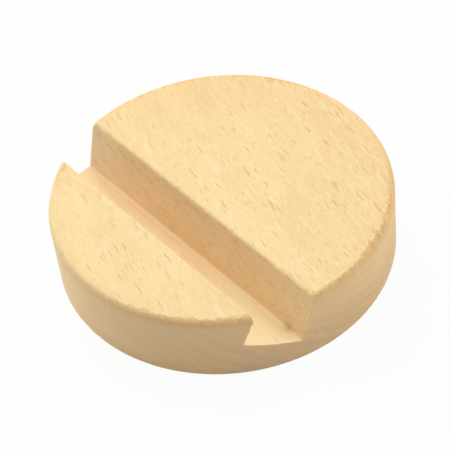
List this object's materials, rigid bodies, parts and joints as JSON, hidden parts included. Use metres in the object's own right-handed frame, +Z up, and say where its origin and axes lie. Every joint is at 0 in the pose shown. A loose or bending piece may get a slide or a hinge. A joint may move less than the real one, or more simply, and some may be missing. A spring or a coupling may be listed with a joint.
{
  "type": "round wooden photo block holder",
  "caption": "Low round wooden block with a leaning slot across it that holds a photo block or thick card upright.",
  "frame": {"origin": "centre of the flat base", "axes": "+Z up through the thickness of the block, +X along the slot, +Y towards the large part behind the slot"},
  "size_m": [0.08, 0.08, 0.018],
  "materials": {
    "beech": "fine sanded, bare wood"
  },
  "bodies": {
    "root": {"holder_block": "beech"}
  },
  "joints": []
}
